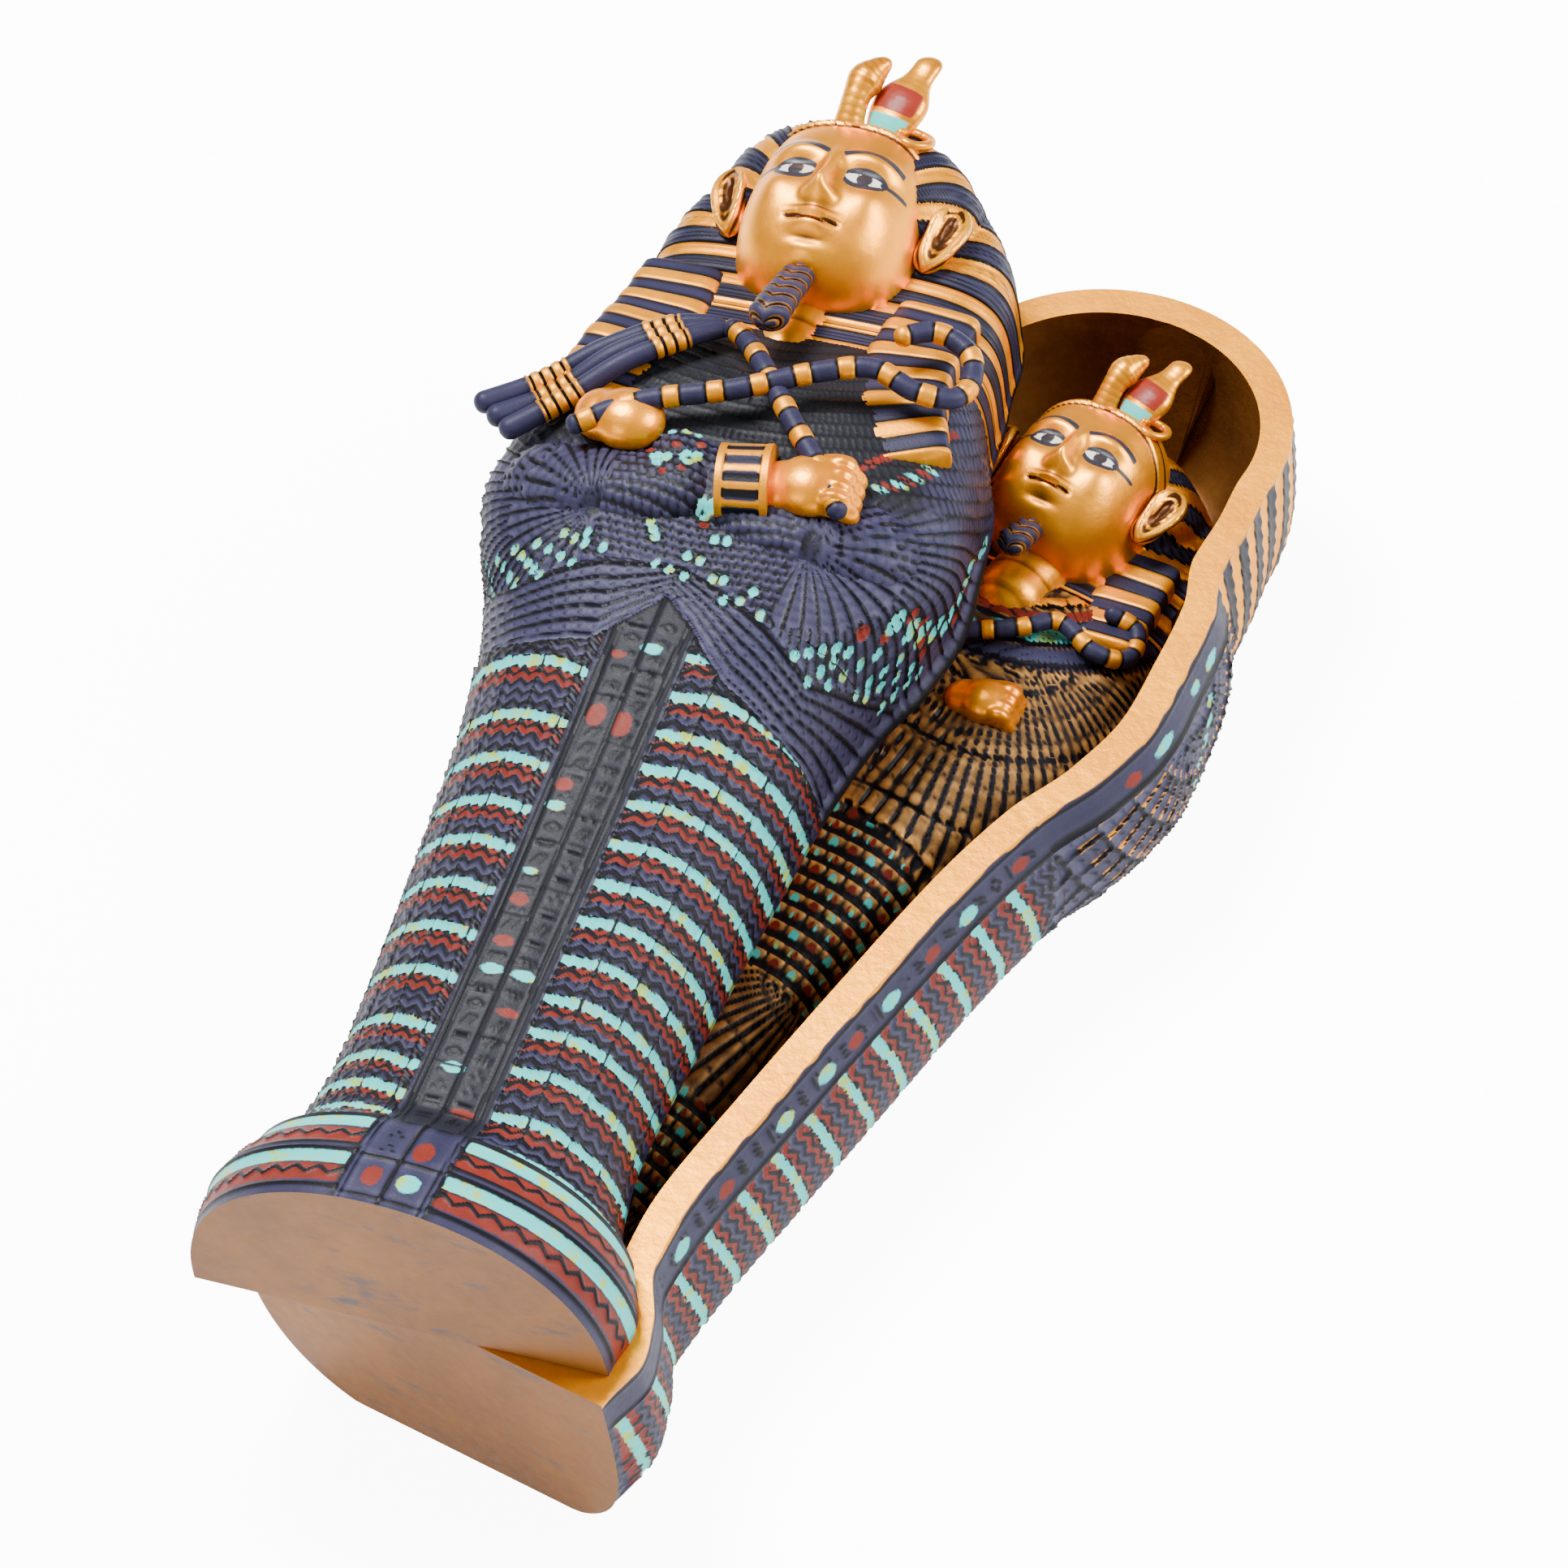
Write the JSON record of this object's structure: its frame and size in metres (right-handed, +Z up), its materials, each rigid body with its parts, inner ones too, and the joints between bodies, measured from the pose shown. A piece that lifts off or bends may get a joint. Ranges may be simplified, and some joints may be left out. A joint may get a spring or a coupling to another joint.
{
  "type": "souvenir royal coffin miniature",
  "caption": "Painted resin miniature of an ancient royal coffin: open trough, carved mummy-shaped lid resting askew on its rim, and a small gilded figure lying inside.",
  "frame": {"origin": "middle of the trough's flat underside, halfway along its length and on its centre line", "axes": "+Y along the coffin from the feet to the head, +Z up, +X to the figure's left hand side"},
  "size_m": [0.1498, 0.2927, 0.0935],
  "materials": {
    "trough": "cast resin, gold-painted rim and inside, slate-blue carved outside with worn turquoise and red bands",
    "lid": "cast resin painted dark slate blue with turquoise, brick red and antique gold, satin, dark in the recesses",
    "figure": "cast resin painted antique gold over dark bronze, with small turquoise and red marks"
  },
  "bodies": {
    "root": {"coffin_base": "trough", "coffin_lid": "lid", "mummy_figure": "figure"}
  },
  "joints": []
}
